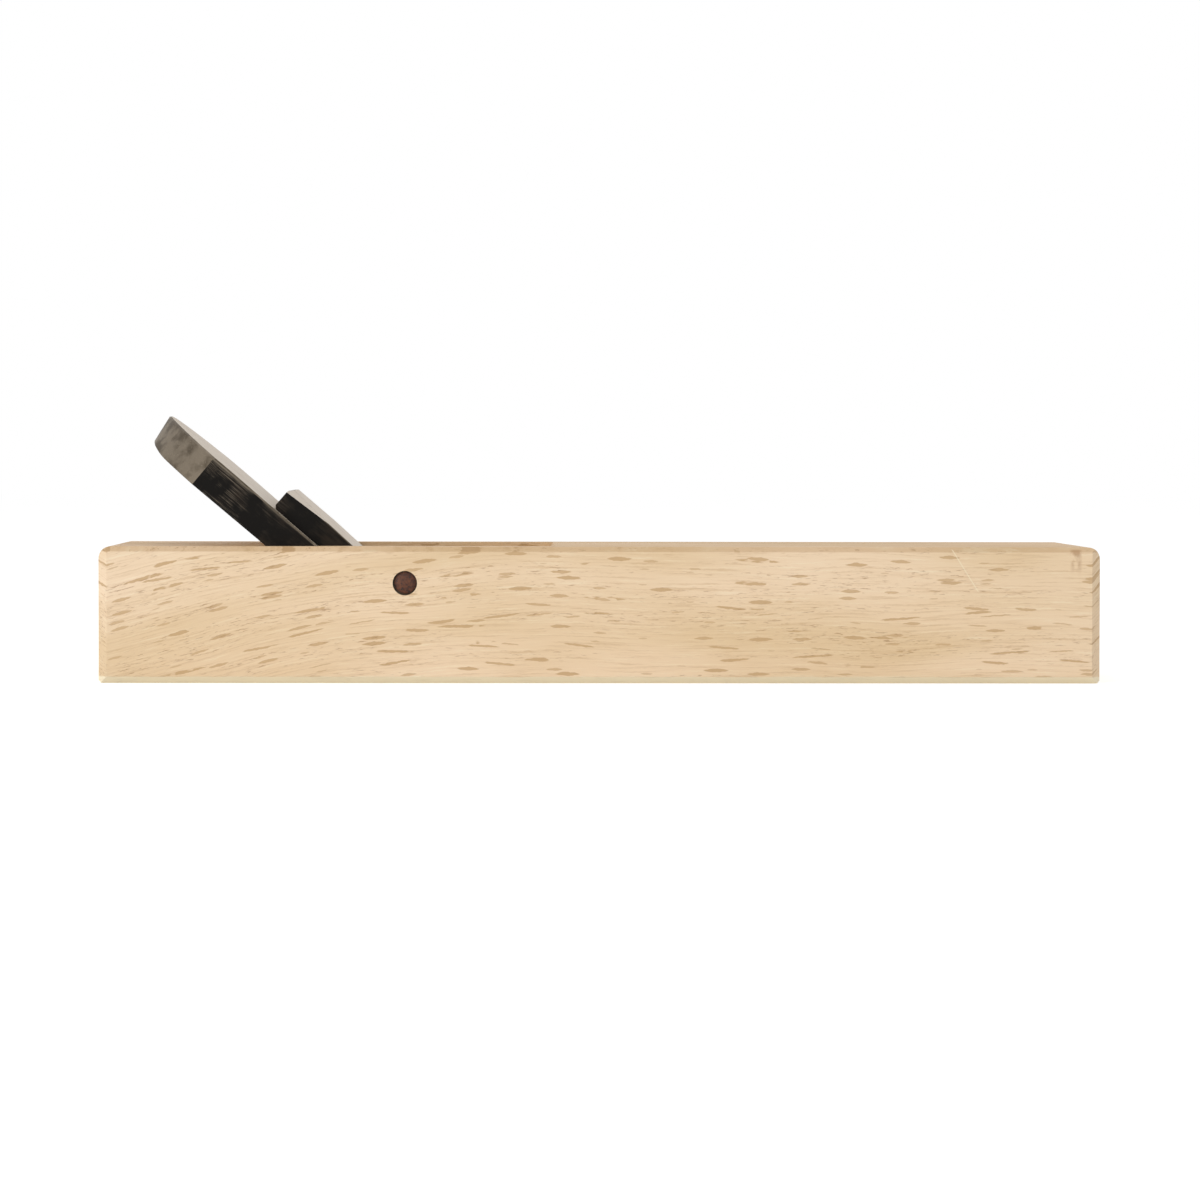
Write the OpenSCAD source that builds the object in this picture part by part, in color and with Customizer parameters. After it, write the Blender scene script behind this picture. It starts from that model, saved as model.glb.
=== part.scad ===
// Japanese smoothing plane: an oak block with a tapered laminated blade, a chipbreaker
// on the blade and a steel pin that holds the chipbreaker down.
// Millimetres. The origin is at the centre of the sole, +X is the front end, towards
// which the plane is pulled, and +Z is up. The blade leans back, towards -X.

/* [Body block] */
// Length of the block
body_l = 279; // [240:1:320]
// Height of the block
body_h = 38; // [34:0.5:44]
// Thickness of the wood between the blade and each side of the block
cheek_w = 7.5; // [6:0.25:12]
// Chamfer along the two long top edges
top_chamfer = 1.4; // [0.6:0.1:2.5]
// Chamfer along the two long sole edges
sole_chamfer = 1.9; // [0.6:0.1:3]
// Chamfer on the four upright corners
corner_chamfer = 2.4; // [1:0.1:4]
// Radius that rounds the top edge at each end
end_round = 3.5; // [1.5:0.1:6]
// Chamfer under each end
end_chamfer = 0.8; // [0.3:0.1:2]

/* [Bed, throat and mouth] */
// Distance from the back end to the line where the bed meets the sole
bed_foot = 91.4; // [80:0.2:105]
// Slope of the bed above the sole, in degrees
bed_angle = 40; // [37:0.5:44]
// Height of the blunt face at the foot of the bed
foot_land = 2; // [1:0.25:3]
// Depth of the groove that holds the blade in each cheek
groove_depth = 3.75; // [2.5:0.25:5]
// Gap ahead of the cutting edge when the blade is set to cut
mouth_gap = 0.5; // [0.3:0.1:1.5]
// Steepness of the short wall ahead of the mouth, in degrees
mouth_wall_angle = 80; // [70:1:88]
// Height of the short wall ahead of the mouth
mouth_wall_h = 7; // [4:0.5:10]
// Steepness of the long front wall that turns the shavings up, in degrees
return_angle = 56; // [50:1:65]

/* [Blade] */
// Width of the blade
blade_w = 70; // [60:1:76]
// Length of the blade from cutting edge to the top of the head
blade_l = 113.6; // [105:0.2:125]
// Thickness of the blade at the head
blade_t = 9.75; // [8.8:0.05:10.6]
// Angle at which the blade thickens away from the cutting edge, in degrees
wedge_angle = 0.9; // [0.5:0.1:1.5]
// Length of the wedge, above which the blade has one thickness
wedge_l = 89; // [84:0.5:95]
// Angle of the ground bevel, in degrees
bevel_angle = 28; // [25:0.5:32]
// Radius of the round head, seen from above
head_r = 42; // [40:0.5:60]
// Angle at which the struck middle of the head leans out at the top, in degrees
head_lean = 8; // [4:0.5:12]
// Radius of the struck middle of the head, seen from above
head_face_r = 75; // [70:1:90]
// Length over which the underside of the head is worn round
head_wear_l = 7; // [4:0.5:10]
// Height to which the underside of the head is worn round
head_wear = 1.4; // [0.8:0.1:2]
// Chamfer along the upper edges of the blade
blade_chamfer = 0.5; // [0.2:0.05:0.8]
// Width of the corner ground off at each end of the cutting edge
ear_cut_w = 5; // [4:0.5:7]
// Length of the corner ground off at each end of the cutting edge
ear_cut_l = 9; // [6:0.5:12]
// Height of the cutting edge inside the sole, where the blade is kept at rest
edge_rest = 0.6; // [0.4:0.1:1]
// Depth of the cutting edge below the sole when the blade is set to cut
edge_set = 0.15; // [0.05:0.05:0.3]

/* [Hollow and steel of the blade] */
// Depth of the hollow ground in the steel face
hollow_depth = 0.8; // [0.7:0.05:1.2]
// Width of the flat rim left at each side of the hollow
hollow_rim = 5; // [4:0.25:8]
// Width of the flat left between the cutting edge and the hollow
edge_flat = 3; // [2:0.25:5]
// Length of the hollow
hollow_l = 46; // [40:1:52]
// Length over which the hollow rises to the flat behind the cutting edge
hollow_low_end = 8; // [5:0.5:12]
// Length over which the hollow rises to its round upper end
hollow_top_end = 22; // [16:0.5:28]
// Thickness of the hard steel layer
steel_t = 2.8; // [2.4:0.1:3.4]
// Length of the hard steel layer from the cutting edge
steel_l = 56; // [54:1:75]
// Length of the tapered end of the hard steel layer
steel_end = 5; // [3:0.5:8]

/* [Chipbreaker] */
// Length of the chipbreaker
breaker_l = 73; // [68:0.5:80]
// Thickness of the chipbreaker at its head
breaker_t = 7; // [6:0.1:8]
// Angle of the upper part of the top face against the blade, in degrees
breaker_angle = 1.4; // [0.5:0.1:2]
// Angle of the lower part of the top face, under the pin, in degrees
breaker_wedge = 3.6; // [3:0.1:4.5]
// Length of the lower part of the top face
breaker_wedge_l = 45; // [42:0.5:50]
// Distance from the cutting edge back to the edge of the chipbreaker
edge_back = 0.5; // [0.4:0.05:1.5]
// Angle of the long bevel at the edge, in degrees
long_bevel = 25; // [20:0.5:30]
// Angle of the short steep bevel at the edge, in degrees
short_bevel = 55; // [45:1:65]
// Height of the short steep bevel
short_bevel_h = 0.9; // [0.5:0.1:1.2]
// Length of the flat under the edge that rests on the blade
edge_land = 4; // [3:0.25:6]
// Height to which the underside lifts off the blade at the head
head_lift = 0.2; // [0.1:0.05:0.5]
// Chamfer along the upper long edges
breaker_chamfer = 0.35; // [0.2:0.05:0.6]
// Chamfer on the lower and upper edge of the head
breaker_head_chamfer = 0.9; // [0.4:0.1:1.2]
// Width of each bent corner of the head, which touches the blade
corner_w = 16; // [12:0.5:22]
// Length of each bent corner of the head
corner_l = 15; // [10:0.5:18]
// Drop of the top face at each bent corner
corner_drop = 1.4; // [0.4:0.1:1.5]
// Depth of the hollow in the underside
breaker_hollow_depth = 0.5; // [0.45:0.05:0.8]
// Width of the flat rim left at each side of the underside hollow
breaker_hollow_rim = 9; // [8:0.25:12]
// Length of the underside hollow
breaker_hollow_l = 36; // [30:1:40]
// Length of each rising end of the underside hollow
breaker_hollow_end = 10; // [6:0.5:14]
// Thickness of the steel layer of the chipbreaker
breaker_steel_t = 1.7; // [1.5:0.1:2.2]
// Length of the steel layer of the chipbreaker
breaker_steel_l = 46; // [44:1:55]
// Length of the tapered end of the steel layer of the chipbreaker
breaker_steel_end = 4; // [3:0.5:6]

/* [Pin] */
// Diameter of the pin
pin_d = 6.1; // [5:0.1:7]
// Distance from the chipbreaker's edge up to where it meets the pin
pin_seat = 31.6; // [28:0.2:36]
// Depth of each pin end inside the side of the block
pin_inset = 0.4; // [0.2:0.1:1]
// Height of the dome on each end of the pin
pin_dome = 0.5; // [0.2:0.1:0.8]
// Widening of the worn hole mouth at each side, across its diameter
hole_wear = 0.7; // [0.4:0.1:1]
// Width of the worn hole mouth's step on the loaded side, where it is narrowest
hole_wear_rim = 0.06; // [0.04:0.01:0.08]
// Depth of the worn hole mouth
hole_wear_depth = 1.6; // [1:0.1:3]

/* [Clearances] */
// Gap between the blade and the bed
bed_gap = 0.02; // [0.01:0.01:0.05]
// Gap between the blade's upper face and the groove
groove_gap = 0.06; // [0.05:0.01:0.1]
// Gap between each side of the blade and its groove
blade_side_gap = 0.5; // [0.3:0.05:0.8]
// Gap between each side of the chipbreaker and the cheek
breaker_side_gap = 0.75; // [0.5:0.05:1]
// Gap between the chipbreaker and the blade where they rest on each other
breaker_gap = 0.02; // [0.01:0.01:0.05]
// Gap between the pin and the chipbreaker
pin_gap = 0.15; // [0.14:0.01:0.2]
// Radial gap between the pin and its hole
pin_fit = 0.05; // [0.02:0.01:0.08]

/* [Hidden] */
$fn = 96;
// Facets of the very large circles that shape the shallow hollows
hollow_fn = 256;

// How far a cutting shape runs past the piece that it cuts
past = 2;

// Widths across the plane
slot_w = blade_w + 2 * blade_side_gap;
throat_w = slot_w - 2 * groove_depth;
breaker_w = throat_w - 2 * breaker_side_gap;
body_w = slot_w + 2 * cheek_w;

// A point in the side view, from its distance up the bed and its height above the bed
bed_foot_x = bed_foot - body_l / 2;
function bed_point(up, off) = [
    bed_foot_x - up * cos(bed_angle) + off * sin(bed_angle),
    up * sin(bed_angle) + off * cos(bed_angle)
];

// The blade in its own frame: the cutting edge is at x = 0 and the head at -blade_l,
// and the face that lies on the bed is at z = 0
edge_t = blade_t - wedge_l * tan(wedge_angle);
edge_up = (edge_rest - (edge_t + bed_gap) * cos(bed_angle)) / sin(bed_angle);
heel = edge_t / tan(bevel_angle - wedge_angle);
set_travel = (edge_rest + edge_set) / sin(bed_angle);

// Ends of the blade's slot along the bed, outside the sole and the top
slot_low = edge_up - set_travel - past;
slot_high = (body_h + past) / sin(bed_angle);

// Front wall of the throat
mouth_x = bed_point(edge_up - set_travel, edge_t + bed_gap)[0] + mouth_gap;
wall_x = mouth_x + mouth_wall_h / tan(mouth_wall_angle);

// The chipbreaker in its own frame: the cutting edge of the blade is at x = 0, the head
// is at the negative end and the upper face of the blade is at z = 0
kink_x = -edge_back - breaker_wedge_l;
head_x = -edge_back - breaker_l;
kink_t = breaker_t - (breaker_l - breaker_wedge_l) * tan(breaker_angle);
function wedge_t(x) = kink_t - (x - kink_x) * tan(breaker_wedge);
short_bevel_l = short_bevel_h / tan(short_bevel);
bevel_start = -edge_back - short_bevel_l;
bevel_rise = wedge_t(bevel_start) - short_bevel_h - breaker_gap;
long_bevel_l = bevel_rise / (tan(long_bevel) - tan(breaker_wedge));

// The pin lies on the lower part of the chipbreaker's top face
pin_x = -edge_back - pin_seat;
pin_reach = pin_d / 2 + pin_gap;
pin_l = body_w - 2 * pin_inset;

// Colours
oak = [0.90, 0.79, 0.65];
dark_iron = [0.20, 0.18, 0.16];
ground_steel = [0.62, 0.59, 0.55];
rust_brown = [0.42, 0.25, 0.17];

// Extrudes a side view, drawn in X and Z, across the width
module across(width) {
    rotate([90, 0, 0]) linear_extrude(height = width, center = true) children();
}

// Places the blade, and the chipbreaker on the blade
module on_bed() {
    translate([bed_foot_x, 0, 0]) rotate([0, bed_angle, 0])
        translate([-edge_up, 0, bed_gap]) children();
}
module on_blade() {
    on_bed() translate([0, 0, edge_t]) rotate([0, wedge_angle, 0]) children();
}

// Places the pin's axis at a right angle to the chipbreaker's top face
module on_breaker() {
    on_blade() translate([pin_x, 0, wedge_t(pin_x)]) rotate([0, breaker_wedge, 0])
        translate([0, 0, pin_reach]) children();
}

// Both sides of the plane
module both_sides() {
    children();
    mirror([0, 1, 0]) children();
}

// Section of a hollow across its width, with the surface at y = 0
module hollow_section(width, depth) {
    crown_r = (width * width / 4 + depth * depth) / (2 * depth);
    intersection() {
        translate([0, crown_r - depth]) circle(r = crown_r, $fn = hollow_fn);
        translate([-width / 2 - 1, -depth - 1]) square([width + 2, depth + 2]);
    }
}

// Rising end of a hollow, the mark of a large crowned grinding wheel, towards +X
module hollow_end(width, depth, end_l) {
    wheel_r = (end_l * end_l + depth * depth) / (2 * depth);
    sweep = 1.1 * acos((wheel_r - depth) / wheel_r);
    translate([0, 0, wheel_r - depth]) rotate([90, 0, 0]) rotate([0, 0, -90])
        rotate_extrude(angle = sweep, $fn = hollow_fn)
            translate([wheel_r - depth, 0]) rotate([0, 0, 90]) hollow_section(width, depth);
}

// Hollow ground into a surface at z = 0, from x = 0 towards -X
module ground_hollow(width, length, depth, low_end, top_end) {
    translate([-low_end, 0, 0]) hollow_end(width, depth, low_end);
    translate([top_end - length, 0, 0]) {
        rotate([90, 0, 90]) linear_extrude(height = length - low_end - top_end)
            hollow_section(width, depth);
        mirror([1, 0, 0]) hollow_end(width, depth, top_end);
    }
}

// Side view of the block, with its rounded top ends and the chamfers under its ends
module block_side() {
    difference() {
        translate([-body_l / 2, 0]) square([body_l, body_h]);
        for (end = [0, 1]) mirror([end, 0]) translate([body_l / 2, 0]) {
            polygon([[-end_chamfer - 1, -1], [1, -1], [1, end_chamfer + 1]]);
            translate([-end_round, body_h - end_round]) difference() {
                square(end_round + 1);
                circle(r = end_round);
            }
        }
    }
}

// End view of the block
module block_end() {
    half = body_w / 2;
    polygon([
        [-half + sole_chamfer, 0], [half - sole_chamfer, 0], [half, sole_chamfer],
        [half, body_h - top_chamfer], [half - top_chamfer, body_h],
        [-half + top_chamfer, body_h], [-half, body_h - top_chamfer], [-half, sole_chamfer]
    ]);
}

// Plan of the block with its upright corners cut
module block_plan() {
    l = body_l / 2;
    w = body_w / 2;
    c = corner_chamfer;
    polygon([
        [-l + c, -w], [l - c, -w], [l, -w + c], [l, w - c],
        [l - c, w], [-l + c, w], [-l, w - c], [-l, -w + c]
    ]);
}

module block_blank() {
    intersection() {
        across(body_w + past) block_side();
        translate([-body_l / 2 - 1, 0, 0]) rotate([90, 0, 90])
            linear_extrude(height = body_l + past) block_end();
        translate([0, 0, -1]) linear_extrude(height = body_h + past) block_plan();
    }
}

// Side view of the way for the shavings, from the middle of the slot to the front wall
module throat_side() {
    top = body_h + past;
    polygon([
        bed_point(slot_low, edge_t / 2), bed_point(slot_high, edge_t / 2),
        [wall_x + (top - mouth_wall_h) / tan(return_angle), top], [wall_x, mouth_wall_h],
        [mouth_x - past / tan(mouth_wall_angle), -past]
    ]);
}

// Side view of the blade's slot: the bed below and the grooves' upper face above
module slot_side() {
    roof = edge_t + bed_gap + groove_gap;
    rise = tan(wedge_angle);
    polygon([
        bed_point(slot_low, 0), bed_point(slot_high, 0),
        bed_point(slot_high, roof + (slot_high - edge_up) * rise),
        bed_point(slot_low, roof + (slot_low - edge_up) * rise)
    ]);
}

// The blunt face cut at the foot of the bed, which reaches up into the slot
module foot_side() {
    foot_x = bed_foot_x - foot_land / tan(bed_angle);
    polygon([
        [foot_x, -past], [foot_x, foot_land + 1], [bed_foot_x + 1, 1],
        [bed_foot_x + 1, -past]
    ]);
}

// Hole for the pin, with a worn mouth that lies off centre, away from the load
module pin_hole() {
    bore_d = pin_d + 2 * pin_fit;
    mouth_d = pin_d + hole_wear;
    drop = (mouth_d - bore_d) / 2 - hole_wear_rim;
    rotate([90, 0, 0]) cylinder(d = bore_d, h = body_w + past, center = true);
    both_sides() translate([0, hole_wear_depth - body_w / 2, -drop])
        rotate([90, 0, 0]) cylinder(d = mouth_d, h = hole_wear_depth + past);
}

module body_block() {
    color(oak) difference() {
        block_blank();
        across(throat_w) throat_side();
        across(slot_w) slot_side();
        across(slot_w) foot_side();
        on_breaker() pin_hole();
    }
}

// Side view of the blade
module blade_side() {
    wear_r = (head_wear_l * head_wear_l + head_wear * head_wear) / (2 * head_wear);
    wear_start = head_wear_l + blade_t * tan(head_lean) - blade_l;
    difference() {
        polygon([
            [0, edge_t], [-wedge_l, blade_t], [-blade_l - past, blade_t],
            [-blade_l - past, 0], [-heel, 0]
        ]);
        translate([wear_start, 0]) difference() {
            translate([-wear_r, -past]) square([wear_r, past + wear_r / 2]);
            translate([0, wear_r]) circle(r = wear_r);
        }
    }
}

// The round head and the blade below it
module blade_plan() {
    centre = head_r - blade_l;
    translate([centre, 0, 0]) difference() {
        cylinder(r = head_r, h = blade_t);
        rotate_extrude() head_upper_edge();
    }
    translate([centre, -blade_w, 0]) cube([-centre + past, 2 * blade_w, blade_t]);
}

module head_upper_edge() {
    c = blade_chamfer + past;
    polygon([
        [head_r - c, blade_t + past], [head_r + past, blade_t + past],
        [head_r + past, blade_t - c]
    ]);
}

// All that lies behind the struck middle of the head, where the hammer lands
module head_face() {
    translate([-blade_l, 0, blade_t]) rotate([0, -head_lean, 0])
        translate([head_face_r, 0, -2 * blade_w])
            cylinder(r = head_face_r, h = 4 * blade_w);
}

// A bar that chamfers an edge lying along -X from the origin
module edge_bar(length, chamfer) {
    side = chamfer * sqrt(2);
    rotate([45, 0, 0]) translate([-length, -side / 2, -side / 2]) cube([length, side, side]);
}

// Corner ground off beside the cutting edge
module ear_cut() {
    half = blade_w / 2;
    translate([0, 0, -past]) linear_extrude(height = blade_t + 2 * past)
        polygon([
            [1, half - ear_cut_w - ear_cut_w / ear_cut_l], [1, half + 1],
            [-ear_cut_l, half + 1], [-ear_cut_l, half]
        ]);
}

module blade_form() {
    difference() {
        intersection() {
            across(blade_w) blade_side();
            blade_plan();
            head_face();
        }
        both_sides() {
            ear_cut();
            translate([0, blade_w / 2, edge_t]) rotate([0, wedge_angle, 0])
                translate([past, 0, 0]) edge_bar(wedge_l + past, blade_chamfer);
            translate([-wedge_l, blade_w / 2, blade_t])
                edge_bar(blade_l - wedge_l, blade_chamfer);
        }
        translate([0, 0, edge_t]) rotate([0, wedge_angle, 0]) translate([-edge_flat, 0, 0])
            ground_hollow(blade_w - 2 * hollow_rim, hollow_l, hollow_depth,
                          hollow_low_end, hollow_top_end);
    }
}

// Space taken by the steel layer, which thins out at its upper end
module steel_layer() {
    translate([0, 0, edge_t]) rotate([0, wedge_angle, 0]) across(blade_w + past)
        polygon([
            [past, -steel_t], [steel_end - steel_l, -steel_t], [-steel_l, 0],
            [-steel_l, past], [past, past]
        ]);
}

module blade_iron() {
    color(dark_iron) on_bed() difference() {
        blade_form();
        steel_layer();
    }
}

module blade_steel() {
    color(ground_steel) on_bed() intersection() {
        blade_form();
        steel_layer();
    }
}

// Side view of the chipbreaker
module breaker_side() {
    c = breaker_head_chamfer;
    g = breaker_gap;
    polygon([
        [-edge_back, g], [bevel_start, g + short_bevel_h],
        [bevel_start - long_bevel_l, wedge_t(bevel_start - long_bevel_l)],
        [kink_x, kink_t], [head_x + c, breaker_t], [head_x, breaker_t - c],
        [head_x, g + c], [head_x + c, g]
    ]);
}

// Plan of a bent corner of the head
module corner_plan() {
    half = breaker_w / 2;
    polygon([
        [head_x - past, half - corner_w], [head_x, half - corner_w],
        [head_x + corner_l, half], [head_x + corner_l, half + past],
        [head_x - past, half + past]
    ]);
}

// What the bent corner takes off the top face: all above a plane that turns down along
// a line across the corner
module corner_top() {
    turn = atan2(corner_w, corner_l);
    reach = corner_w * corner_l / norm([corner_w, corner_l]);
    translate([head_x, breaker_w / 2 - corner_w, breaker_t]) rotate([0, breaker_angle, 0])
        rotate([0, 0, turn]) rotate([-atan(corner_drop / reach), 0, 0])
            translate([-breaker_w, 0, 0]) cube([2 * breaker_w, breaker_w, breaker_t]);
}

// The underside lifts from the land at the edge to the head, but not at the corners
module underside_lift() {
    start = -edge_back - edge_land;
    difference() {
        across(breaker_w + past)
            polygon([
                [start, breaker_gap], [head_x - 1, breaker_gap + head_lift],
                [head_x - 1, -past], [start, -past]
            ]);
        both_sides() translate([0, 0, -past]) linear_extrude(height = 3 * past)
            corner_plan();
    }
}

module breaker_form() {
    hollow_w = breaker_w - 2 * breaker_hollow_rim;
    difference() {
        across(breaker_w) breaker_side();
        both_sides() {
            corner_top();
            translate([kink_x, breaker_w / 2, kink_t]) {
                rotate([0, breaker_wedge, 0]) translate([breaker_wedge_l, 0, 0])
                    edge_bar(breaker_wedge_l, breaker_chamfer);
                rotate([0, breaker_angle, 0])
                    edge_bar(breaker_l - breaker_wedge_l + past, breaker_chamfer);
            }
        }
        underside_lift();
        translate([-edge_back - edge_land, 0, breaker_gap]) mirror([0, 0, 1])
            ground_hollow(hollow_w, breaker_hollow_l, breaker_hollow_depth,
                          breaker_hollow_end, breaker_hollow_end);
    }
}

// Space taken by the steel layer under the chipbreaker
module breaker_steel_layer() {
    across(breaker_w + past)
        polygon([
            [past, -past], [past, breaker_steel_t],
            [breaker_steel_end - breaker_steel_l, breaker_steel_t],
            [-breaker_steel_l, breaker_gap], [-breaker_steel_l, -past]
        ]);
}

module chipbreaker_iron() {
    color(dark_iron) on_blade() difference() {
        breaker_form();
        breaker_steel_layer();
    }
}

module chipbreaker_steel() {
    color(ground_steel) on_blade() intersection() {
        breaker_form();
        breaker_steel_layer();
    }
}

// Half section of the pin, with its domed ends
module pin_section() {
    r = pin_d / 2;
    dome_r = (r * r + pin_dome * pin_dome) / (2 * pin_dome);
    intersection() {
        translate([0, -pin_l / 2]) square([r, pin_l]);
        union() {
            for (end = [0, 1]) mirror([0, end]) translate([0, pin_l / 2 - dome_r])
                circle(r = dome_r);
            translate([0, dome_r - pin_l / 2]) square([r + 1, pin_l - 2 * dome_r]);
        }
    }
}

module retaining_pin() {
    color(rust_brown) on_breaker() rotate([90, 0, 0]) rotate_extrude() pin_section();
}

body_block();
blade_iron();
blade_steel();
chipbreaker_iron();
chipbreaker_steel();
retaining_pin();
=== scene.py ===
# %% [markdown]
# # A Japanese smoothing plane
# The construction of this plane is already there: an oak block, a blade with a layer of
# hard steel, a chipbreaker and a pin, each in its place and at its real size. What is made
# here is how they look: planed oak with its rays and its end grain, forged iron that is
# black at the sides and worn pale on its flat faces, and a rusty pin. The frame is loaded
# first. Its pieces stay where they are.

# %% Load the frame
from math import radians

import bpy
from mathutils import Matrix, Vector

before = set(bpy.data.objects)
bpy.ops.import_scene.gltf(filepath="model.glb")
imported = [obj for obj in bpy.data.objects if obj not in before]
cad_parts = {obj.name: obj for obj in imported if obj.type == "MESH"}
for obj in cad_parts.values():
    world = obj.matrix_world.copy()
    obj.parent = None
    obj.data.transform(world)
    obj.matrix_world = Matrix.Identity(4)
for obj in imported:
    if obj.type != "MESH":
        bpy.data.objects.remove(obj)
bpy.ops.object.select_all(action="DESELECT")
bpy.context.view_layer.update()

# %% [markdown]
# ## The camera
# The photograph was taken with a long lens from almost level with the plane, a little
# towards its head end. The camera's place and turn were worked out from the edges of the
# block, so they are plain numbers here. A camera at rest looks down, so it is first tipped
# up to look along +Y, and then turned by its small yaw, pitch and roll.

# %% Place the camera
CAMERA_PLACE = Vector((-0.03208, -1.39803, 0.06309))
CAMERA_YAW = radians(1.3497)
CAMERA_PITCH = radians(1.6841)
CAMERA_ROLL = radians(0.0971)
LENS_MM = 146.30

bpy.ops.object.camera_add()
camera = bpy.context.object
camera.name = "camera"
camera.data.lens = LENS_MM
camera.data.sensor_width = 36.0
camera.data.clip_end = 20.0
turn = Matrix.Rotation(-CAMERA_YAW, 4, "Z") @ Matrix.Rotation(radians(90) - CAMERA_PITCH, 4, "X")
camera.matrix_world = Matrix.Translation(CAMERA_PLACE) @ turn @ Matrix.Rotation(CAMERA_ROLL, 4, "Z")
bpy.context.scene.camera = camera
bpy.context.scene.view_settings.view_transform = "Standard"

# %% [markdown]
# ## Light and floor
# The plane stands on a pale floor in soft, even studio light. Most of the light comes from
# the sky all round, and a large soft lamp at the left of the camera makes the left sides
# a little brighter than the right ones. The camera, and reflections in metal, see the sky
# as pure white, while the light that it gives to the pieces is weaker.

# %% Light the studio
SKY_LIGHT = 0.62
KEY_LIGHT_W = 14.0
TOP_LIGHT_W = 5.0


def add_soft_lamp(name, place, aim, size, watts):
    """A square soft lamp that faces a point."""
    bpy.ops.object.light_add(type="AREA", location=place)
    lamp = bpy.context.object
    lamp.name = name
    lamp.data.shape = "SQUARE"
    lamp.data.size = size
    lamp.data.energy = watts
    lamp.rotation_euler = (Vector(aim) - Vector(place)).to_track_quat("-Z", "Y").to_euler()
    return lamp


add_soft_lamp("key_lamp", (-1.3, -1.5, 0.7), (0, 0, 0.02), 1.1, KEY_LIGHT_W)
add_soft_lamp("top_lamp", (0.2, 0.5, 1.7), (0, 0, 0.02), 1.2, TOP_LIGHT_W)

sky = bpy.data.worlds.new("studio_sky")
bpy.context.scene.world = sky
sky.use_nodes = True
sky_nodes = sky.node_tree.nodes
sky_links = sky.node_tree.links
sky_nodes.clear()
seen_rays = sky_nodes.new("ShaderNodeLightPath")
camera_or_gloss = sky_nodes.new("ShaderNodeMath")
camera_or_gloss.operation = "MAXIMUM"
seen_at_all = sky_nodes.new("ShaderNodeMath")
seen_at_all.operation = "MAXIMUM"
sky_strength = sky_nodes.new("ShaderNodeMapRange")
sky_strength.inputs["To Min"].default_value = SKY_LIGHT
sky_strength.inputs["To Max"].default_value = 1.0
white_sky = sky_nodes.new("ShaderNodeBackground")
white_sky.inputs["Color"].default_value = (1, 1, 1, 1)
sky_output = sky_nodes.new("ShaderNodeOutputWorld")
sky_links.new(seen_rays.outputs["Is Camera Ray"], camera_or_gloss.inputs[0])
sky_links.new(seen_rays.outputs["Is Glossy Ray"], camera_or_gloss.inputs[1])
sky_links.new(camera_or_gloss.outputs[0], seen_at_all.inputs[0])
sky_links.new(seen_rays.outputs["Is Transmission Ray"], seen_at_all.inputs[1])
sky_links.new(seen_at_all.outputs[0], sky_strength.inputs["Value"])
sky_links.new(sky_strength.outputs["Result"], white_sky.inputs["Strength"])
sky_links.new(white_sky.outputs[0], sky_output.inputs["Surface"])

# %% [markdown]
# ## Small helpers for materials
# A procedural finish is a chain of small sums on the place of each point. Written out node
# by node that would be long, so a few helpers each add one node, join what they are given,
# and hand back its output. Colours are given as a picker shows them, from 0 to 255.

# %% Helpers for the shader nodes
MM = 0.001


def picked(red, green, blue):
    """A colour as a picker shows it, made linear for a shader."""
    parts = [value / 255 for value in (red, green, blue)]
    return (*[p / 12.92 if p <= 0.04045 else ((p + 0.055) / 1.055) ** 2.4 for p in parts], 1.0)


def feed(tree, socket, value):
    """Joins an output to a socket, or sets the socket to a plain value."""
    if isinstance(value, bpy.types.NodeSocket):
        tree.links.new(value, socket)
    else:
        socket.default_value = value


def sum_of(tree, operation, *values, clamp=False):
    """A Math node."""
    node = tree.nodes.new("ShaderNodeMath")
    node.operation = operation
    node.use_clamp = clamp
    for socket, value in zip(node.inputs, values):
        feed(tree, socket, value)
    return node.outputs[0]


def fade(tree, value, start, end, low=0.0, high=1.0):
    """Runs smoothly from low to high while the value runs from start to end."""
    node = tree.nodes.new("ShaderNodeMapRange")
    node.interpolation_type = "SMOOTHSTEP"
    for name, setting in (("Value", value), ("From Min", start), ("From Max", end),
                          ("To Min", low), ("To Max", high)):
        feed(tree, node.inputs[name], setting)
    return node.outputs["Result"]


def vector_of(tree, x, y, z):
    """Three numbers as one vector."""
    node = tree.nodes.new("ShaderNodeCombineXYZ")
    for socket, value in zip(node.inputs, (x, y, z)):
        feed(tree, socket, value)
    return node.outputs[0]


def parts_of(tree, vector):
    """The three numbers in a vector."""
    node = tree.nodes.new("ShaderNodeSeparateXYZ")
    feed(tree, node.inputs[0], vector)
    return node.outputs


def stretched(tree, vector, sizes):
    """A vector in millimetres divided by the size of a pattern's cell along each axis."""
    node = tree.nodes.new("ShaderNodeVectorMath")
    node.operation = "MULTIPLY"
    feed(tree, node.inputs[0], vector)
    node.inputs[1].default_value = [1 / size for size in sizes]
    return node.outputs[0]


def noise(tree, vector, sizes, detail=2.0, roughness=0.5):
    """Cloudy noise from 0 to 1, with clouds of about the sizes given in millimetres."""
    node = tree.nodes.new("ShaderNodeTexNoise")
    feed(tree, node.inputs["Vector"], stretched(tree, vector, sizes))
    node.inputs["Scale"].default_value = 1.0
    node.inputs["Detail"].default_value = detail
    node.inputs["Roughness"].default_value = roughness
    return node.outputs["Fac"]


def cells(tree, vector, sizes, pointed=2.0):
    """Flat cells with one point in each: the distance to it, and a random number."""
    node = tree.nodes.new("ShaderNodeTexVoronoi")
    node.voronoi_dimensions = "2D"
    node.distance = "MINKOWSKI"
    feed(tree, node.inputs["Vector"], stretched(tree, vector, sizes))
    node.inputs["Scale"].default_value = 1.0
    node.inputs["Exponent"].default_value = pointed
    return node.outputs["Distance"], parts_of(tree, node.outputs["Color"])[0]


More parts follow.
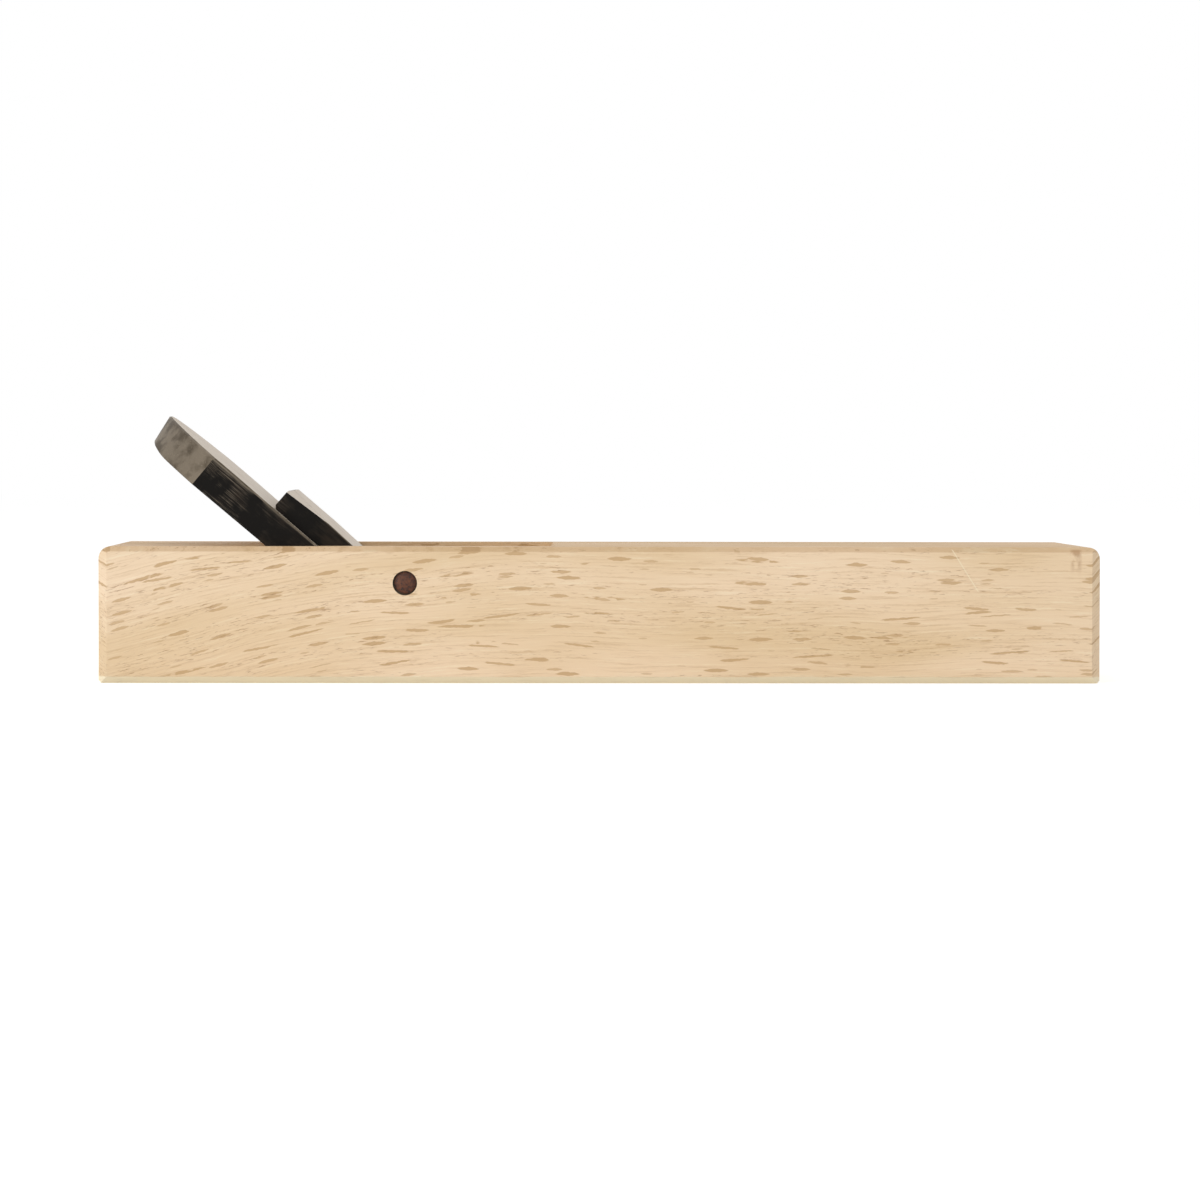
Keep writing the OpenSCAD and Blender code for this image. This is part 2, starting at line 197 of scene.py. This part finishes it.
def blend(tree, amount, first, second, how="MIX"):
    """Two colours mixed."""
    node = tree.nodes.new("ShaderNodeMix")
    node.data_type = "RGBA"
    node.blend_type = how
    feed(tree, node.inputs[0], amount)
    feed(tree, node.inputs[6], first)
    feed(tree, node.inputs[7], second)
    return node.outputs[2]


def new_material(name):
    """An empty material with its shader, and the place on the piece in millimetres."""
    material = bpy.data.materials.new(name)
    material.use_nodes = True
    tree = material.node_tree
    place = tree.nodes.new("ShaderNodeTexCoord").outputs["Object"]
    return material, tree, tree.nodes["Principled BSDF"], stretched(tree, place, (MM, MM, MM))


def finish_surface(tree, shader, colour, roughness, height=None, relief_mm=0.1):
    """Joins colour, roughness and relief to the shader."""
    feed(tree, shader.inputs["Base Color"], colour)
    feed(tree, shader.inputs["Roughness"], roughness)
    if height is not None:
        bump = tree.nodes.new("ShaderNodeBump")
        bump.inputs["Distance"].default_value = relief_mm * MM
        feed(tree, bump.inputs["Height"], height)
        tree.links.new(bump.outputs[0], shader.inputs["Normal"])


# %% [markdown]
# ## The floor
# One large pale sheet. The camera sees it a little brighter than white where nothing
# shades it, so only the soft shadow under the plane shows. The light that it throws back
# at the plane is that of a plain pale floor.

# %% Lay the floor
FLOOR_GLOW = 0.42

bpy.ops.mesh.primitive_plane_add(size=12, location=(0, 0, 0))
floor = bpy.context.object
floor.name = "floor"
floor_paint, floor_tree, floor_shader, _ = new_material("floor_paint")
floor_shader.inputs["Base Color"].default_value = (0.93, 0.93, 0.93, 1)
floor_shader.inputs["Emission Color"].default_value = (1, 1, 1, 1)
floor_seen = floor_tree.nodes.new("ShaderNodeLightPath").outputs["Is Camera Ray"]
seen_glow = sum_of(floor_tree, "MULTIPLY", floor_seen, FLOOR_GLOW)
floor_tree.links.new(seen_glow, floor_shader.inputs["Emission Strength"])
floor_shader.inputs["Roughness"].default_value = 0.9
floor_shader.inputs["Specular IOR Level"].default_value = 0.0
floor.data.materials.append(floor_paint)

# %% [markdown]
# ## Oak
# The block is sawn so that the growth rings and the rays cross its sides and its top at
# about 45 degrees. Rays are thin sheets of cells that run out from the heart of the tree.
# Where a side of the block cuts them they show as short dark spindles along the grain,
# and on the ends as fine slanting lines. So the oak is made solid: every point gets a
# place along the grain, out along the rays and round the rings, and each face then shows
# what it would cut. The grain rises towards the front from the head end and then
# levels out. The wall of the pin hole is painted dark, as painted shade in the gap round
# the pin, and the lower chamfers are painted paler, as painted light from the floor.
# Near the front end the side has a small dark stain and one fine slanting scratch, which
# is kept as a line in x and z.

# %% Oak colours and sizes
OAK_PALE = picked(247, 221, 189)
OAK_WARM = picked(232, 204, 164)
OAK_RAY = picked(200, 165, 120)
OAK_PORE = picked(164, 118, 76)
# Pale oak for the pale streaks and the scratch, and also painted light on the lower chamfers.
OAK_FRESH_AND_LIT = picked(255, 243, 213)
# Painted shade and painted reflection for the top of the block.
OAK_TOP_SHADE_AND_REFLECTION = picked(222, 212, 198)
# Painted shade for the wall of the pin hole.
OAK_HOLE_SHADE = picked(42, 26, 16)
GRAIN_LEVEL_X = -10.0
GRAIN_RISE = 0.0011
BLOCK_TOP = 38.0
PIN_X = -54.23
PIN_Z = 28.04
PIN_HOLE_R = 3.75
STAIN_X = 132.5
SCRATCH_LINE = (0.848, 0.530, 102.82)


def grain_place(tree, place):
    """Where a point lies in the tree: along the grain, out along the rays, round a ring."""
    x, y, z = parts_of(tree, place)
    slope_x = sum_of(tree, "MINIMUM", sum_of(tree, "SUBTRACT", x, GRAIN_LEVEL_X), 0.0)
    rise = sum_of(tree, "MULTIPLY", sum_of(tree, "MULTIPLY", slope_x, slope_x), GRAIN_RISE)
    wave = fade(tree, noise(tree, place, (60, 70, 40), 1.0), 0.0, 1.0, -2.0, 2.0)
    level = sum_of(tree, "ADD", sum_of(tree, "ADD", z, rise), wave)
    out = sum_of(tree, "MULTIPLY", sum_of(tree, "ADD", y, level), 0.7071)
    across = sum_of(tree, "MULTIPLY", sum_of(tree, "SUBTRACT", level, y), 0.7071)
    ragged = fade(tree, noise(tree, place, (1.6, 1.0, 0.6), 1.0), 0.0, 1.0, -0.12, 0.12)
    across = sum_of(tree, "ADD", across, ragged)
    row = noise(tree, vector_of(tree, 0.0, 0.0, across), (1.0, 1.0, 2.6), 0.0)
    shifted = sum_of(tree, "ADD", x, sum_of(tree, "MULTIPLY", row, 70.0))
    return vector_of(tree, x, out, across), vector_of(tree, shifted, across, 0.0)


def spindles(tree, ray_place, sizes, reach, share, pointed):
    """Rays as pointed spindles. Share is how many of the cells have one."""
    distance, chance = cells(tree, ray_place, sizes, pointed)
    width = fade(tree, chance, 1 - share, 1.0, 0.0, reach)
    edge = sum_of(tree, "MULTIPLY", width, 0.8)
    inside = fade(tree, distance, edge, sum_of(tree, "ADD", width, 0.004), 1.0, 0.0)
    return sum_of(tree, "MULTIPLY", inside, fade(tree, chance, 1 - share, 1.0, 0.35, 1.0))


# %% [markdown]
# The patterns go on in this order: first the wood's own colour, rays, streaks and pores,
# then painted light on the lower chamfers, painted shade and painted reflection on the top
# and painted shade in the pin hole, then a stain and a scratch.

# %% Build the oak
oak, tree, shader, place = new_material("white_oak")
x, y, z = parts_of(tree, place)
grain, ray_place = grain_place(tree, place)
rays = spindles(tree, ray_place, (13.5, 1.55, 1.0), 0.28, 0.9, 1.55)
long_rays = spindles(tree, ray_place, (40.0, 2.4, 1.0), 0.17, 0.6, 1.4)
broken = fade(tree, noise(tree, grain, (4.5, 9.0, 2.0), 1.0), 0.45, 0.52)
all_rays = sum_of(tree, "MAXIMUM", rays, sum_of(tree, "MULTIPLY", long_rays, broken))
clouds = noise(tree, grain, (90, 30, 12), 1.0)
towards_front = fade(tree, x, -140.0, 140.0, -0.16, 0.22)
warmth = sum_of(tree, "ADD", fade(tree, clouds, 0.3, 0.7), towards_front, clamp=True)
colour = blend(tree, warmth, OAK_PALE, OAK_WARM)
streaks = noise(tree, grain, (16.0, 5.0, 0.32), 3.0, 0.6)
colour = blend(tree, fade(tree, streaks, 0.5, 0.72, 0.0, 0.4), colour, OAK_RAY)
colour = blend(tree, fade(tree, streaks, 0.46, 0.25, 0.0, 0.35), colour, OAK_FRESH_AND_LIT)
porous = fade(tree, noise(tree, grain, (90.0, 3.2, 14.0), 1.0), 0.42, 0.62)
pores = fade(tree, noise(tree, grain, (3.4, 0.9, 0.17), 2.0, 0.55), 0.6, 0.7)
pores = sum_of(tree, "MULTIPLY", pores, porous)
colour = blend(tree, sum_of(tree, "MULTIPLY", all_rays, 0.82), colour, OAK_RAY)
colour = blend(tree, sum_of(tree, "MULTIPLY", pores, 0.55), colour, OAK_PORE)
# Painted light: the lower chamfers, below about 2 mm, are painted paler, as light thrown up from
# the floor.
painted_floor_light = fade(tree, sum_of(tree, "ADD", z, sum_of(tree, "MULTIPLY", streaks, 0.5)), 2.3, 1.9)
colour = blend(tree, sum_of(tree, "MULTIPLY", painted_floor_light, 0.85), colour, OAK_FRESH_AND_LIT)
# Painted shade and painted reflection: the top 1.6 mm of the block, chamfer and face, is painted
# darker and greyer.
painted_top_shade = fade(tree, z, BLOCK_TOP - 1.6, BLOCK_TOP - 1.2)
colour = blend(tree, sum_of(tree, "MULTIPLY", painted_top_shade, 0.8), colour, OAK_TOP_SHADE_AND_REFLECTION, "MULTIPLY")
from_pin = vector_of(tree, sum_of(tree, "SUBTRACT", x, PIN_X), 0.0,
                     sum_of(tree, "SUBTRACT", z, PIN_Z))
pin_distance = tree.nodes.new("ShaderNodeVectorMath")
pin_distance.operation = "LENGTH"
tree.links.new(from_pin, pin_distance.inputs[0])
# Painted shade: the wall of the pin hole near each side is painted dark, for the shaded gap round
# the pin.
painted_hole_shade = sum_of(tree, "MULTIPLY",
                 fade(tree, pin_distance.outputs["Value"], PIN_HOLE_R, PIN_HOLE_R - 0.15),
                 fade(tree, sum_of(tree, "ABSOLUTE", y), 43.0, 42.9))
colour = blend(tree, sum_of(tree, "MULTIPLY", painted_hole_shade, 0.85), colour, OAK_HOLE_SHADE)
near_side = fade(tree, y, -42.0, -42.6)
stain = sum_of(tree, "MULTIPLY",
               fade(tree, sum_of(tree, "ABSOLUTE", sum_of(tree, "SUBTRACT", x, STAIN_X)), 2.0, 0.8),
               fade(tree, noise(tree, place, (2.0, 2.0, 3.0), 2.0), 0.3, 0.6))
stain = sum_of(tree, "MULTIPLY", stain, fade(tree, z, 29.0, 36.0))
stain = sum_of(tree, "MULTIPLY", stain, near_side)
colour = blend(tree, sum_of(tree, "MULTIPLY", stain, 0.55), colour, OAK_PORE)
off_scratch = sum_of(tree, "ADD", sum_of(tree, "MULTIPLY", x, SCRATCH_LINE[0]),
                     sum_of(tree, "MULTIPLY", z, SCRATCH_LINE[1]))
off_scratch = sum_of(tree, "ABSOLUTE", sum_of(tree, "SUBTRACT", off_scratch, SCRATCH_LINE[2]))
scratch = sum_of(tree, "MULTIPLY", fade(tree, off_scratch, 0.22, 0.05), near_side)
scratch = sum_of(tree, "MULTIPLY", scratch, fade(tree, z, 25.2, 26.2))
colour = blend(tree, sum_of(tree, "MULTIPLY", scratch, 0.5), colour, OAK_FRESH_AND_LIT)
relief = sum_of(tree, "ADD", sum_of(tree, "MULTIPLY", streaks, 0.5),
                sum_of(tree, "MULTIPLY", pores, -0.8))
dull = fade(tree, all_rays, 0.0, 1.0, 0.62, 0.45)
finish_surface(tree, shader, colour, dull, relief, 0.05)
shader.inputs["Specular IOR Level"].default_value = 0.3

# %% [markdown]
# ## Forged iron
# The blade and the chipbreaker were forged, so their sides keep a black skin of scale,
# with pale streaks where a file or a wheel touched them. Their wide faces have been
# ground and handled and are a pale warm grey, streaked along their length. The round end
# of the head has been struck and is a mottled mid grey. Which of these a point gets
# depends on where it lies on the piece, so the place is first turned into the blade's
# own frame: along the blade, across it, and up from the bed.

# %% Blade colours and sizes
SCALE_BLACK = picked(15, 12, 9)
SCALE_BROWN = picked(40, 32, 25)
WORN_GREY = picked(150, 138, 121)
FACE_GREY = picked(205, 193, 178)
FACE_STREAK = picked(160, 147, 130)
HEAD_GREY = picked(124, 113, 98)
HEAD_DARK = picked(86, 76, 63)

BED_FOOT_X = -48.1
BED_SLOPE = radians(40)
BLADE_HALF_W = 35.0
BLADE_TOP = 9.77
BREAKER_HALF_W = 31.0
WORN_START = -55.0


def along_bed(tree, place):
    """A place in the bed's frame: up the bed, across, and off the bed."""
    node = tree.nodes.new("ShaderNodeMapping")
    node.vector_type = "TEXTURE"
    node.inputs["Location"].default_value = (BED_FOOT_X, 0, 0)
    node.inputs["Rotation"].default_value = (0, BED_SLOPE, 0)
    feed(tree, node.inputs["Vector"], place)
    return node.outputs[0]


def facing(tree, axis):
    """How far a face looks along an axis of the bed's frame, from -1 to 1."""
    node = tree.nodes.new("ShaderNodeVectorMath")
    node.operation = "DOT_PRODUCT"
    normal = tree.nodes.new("ShaderNodeTexCoord").outputs["Normal"]
    feed(tree, node.inputs[0], normal)
    node.inputs[1].default_value = Matrix.Rotation(BED_SLOPE, 3, "Y") @ Vector(axis)
    return node.outputs["Value"]


def forged_iron(name, half_width, worn_top=None):
    """Black sides and pale flat faces, for a piece that lies along the bed.

    The scale is worn off the sides just under worn_top, the height of the upper edge.
    """
    material, tree, shader, place = new_material(name)
    bed = along_bed(tree, place)
    up_bed, across, off_bed = parts_of(tree, bed)
    on_side = fade(tree, sum_of(tree, "ABSOLUTE", across), half_width - 0.08, half_width - 0.02)
    flat_face = fade(tree, sum_of(tree, "ABSOLUTE", facing(tree, (0, 0, 1))), 0.8, 0.95)
    long_streaks = noise(tree, bed, (30.0, 0.8, 0.8), 3.0, 0.6)
    fine_streaks = noise(tree, bed, (12.0, 0.25, 0.13), 2.0, 0.6)
    patches = noise(tree, bed, (9.0, 7.0, 7.0), 3.0, 0.6)
    specks = noise(tree, bed, (0.5, 0.5, 0.5), 2.0, 0.6)
    face = blend(tree, fade(tree, long_streaks, 0.5, 0.72, 0.0, 0.8), FACE_GREY, FACE_STREAK)
    head = blend(tree, fade(tree, patches, 0.4, 0.62), HEAD_GREY, HEAD_DARK)
    head = blend(tree, fade(tree, specks, 0.55, 0.75, 0.0, 0.4), head, FACE_STREAK)
    side = blend(tree, fade(tree, patches, 0.45, 0.75), SCALE_BLACK, SCALE_BROWN)
    scraped = sum_of(tree, "MULTIPLY", fade(tree, fine_streaks, 0.52, 0.64),
                     fade(tree, patches, 0.42, 0.58))
    worn_end = fade(tree, up_bed, WORN_START, WORN_START - 22.0, 0.15, 1.0)
    scraped = sum_of(tree, "MULTIPLY", scraped, worn_end)
    side = blend(tree, sum_of(tree, "MULTIPLY", scraped, 0.6), side, WORN_GREY)
    if worn_top is not None:
        edge_wear = sum_of(tree, "MULTIPLY", fade(tree, off_bed, worn_top - 1.3, worn_top - 0.3),
                           fade(tree, patches, 0.38, 0.58))
        side = blend(tree, sum_of(tree, "MULTIPLY", edge_wear, 0.7), side, WORN_GREY)
    colour = blend(tree, flat_face, head, face)
    colour = blend(tree, on_side, colour, side)
    metal = sum_of(tree, "MULTIPLY", sum_of(tree, "SUBTRACT", 1.0, on_side), 0.35)
    feed(tree, shader.inputs["Metallic"], metal)
    finish_surface(tree, shader, colour, fade(tree, specks, 0.2, 0.8, 0.42, 0.6),
                   sum_of(tree, "ADD", fine_streaks, specks), 0.03)
    shader.inputs["Specular IOR Level"].default_value = 0.12
    return material


blade_finish = forged_iron("forged_blade", BLADE_HALF_W, BLADE_TOP)
breaker_finish = forged_iron("forged_chipbreaker", BREAKER_HALF_W)

# %% [markdown]
# ## Rust on the pin
# The pin's ends are rust brown with darker patches and dark pits.

# %% Build the rusty steel
RUST = picked(104, 58, 32)
RUST_DARK = picked(64, 32, 18)
PIT = picked(34, 34, 32)

rusty, tree, shader, place = new_material("rusty_pin")
rust_clouds = noise(tree, place, (1.3, 1.3, 1.3), 3.0, 0.6)
pits = noise(tree, place, (0.5, 0.5, 0.5), 1.0)
colour = blend(tree, fade(tree, rust_clouds, 0.35, 0.65), RUST, RUST_DARK)
colour = blend(tree, fade(tree, pits, 0.62, 0.68), colour, PIT)
finish_surface(tree, shader, colour, 0.6, sum_of(tree, "SUBTRACT", rust_clouds, pits), 0.08)

# %% [markdown]
# ## Dressing the pieces
# The hard steel and the iron are forged together, and one skin of scale and one ground
# face run over both, so the two layers of the blade have one finish. So have those of
# the chipbreaker.

# %% Dress the pieces
FINISHES = {
    "body_block": oak,
    "blade_iron": blade_finish,
    "blade_steel": blade_finish,
    "chipbreaker_iron": breaker_finish,
    "chipbreaker_steel": breaker_finish,
    "retaining_pin": rusty,
}
for node_name, finish in FINISHES.items():
    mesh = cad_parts[node_name].data
    mesh.materials.clear()
    mesh.materials.append(finish)
    print(node_name, "is finished with", finish.name)

# %% [markdown]
# ## The last update
# The view layer is updated once more. No finish makes a piece larger.

# %% Update the view layer
bpy.context.view_layer.update()
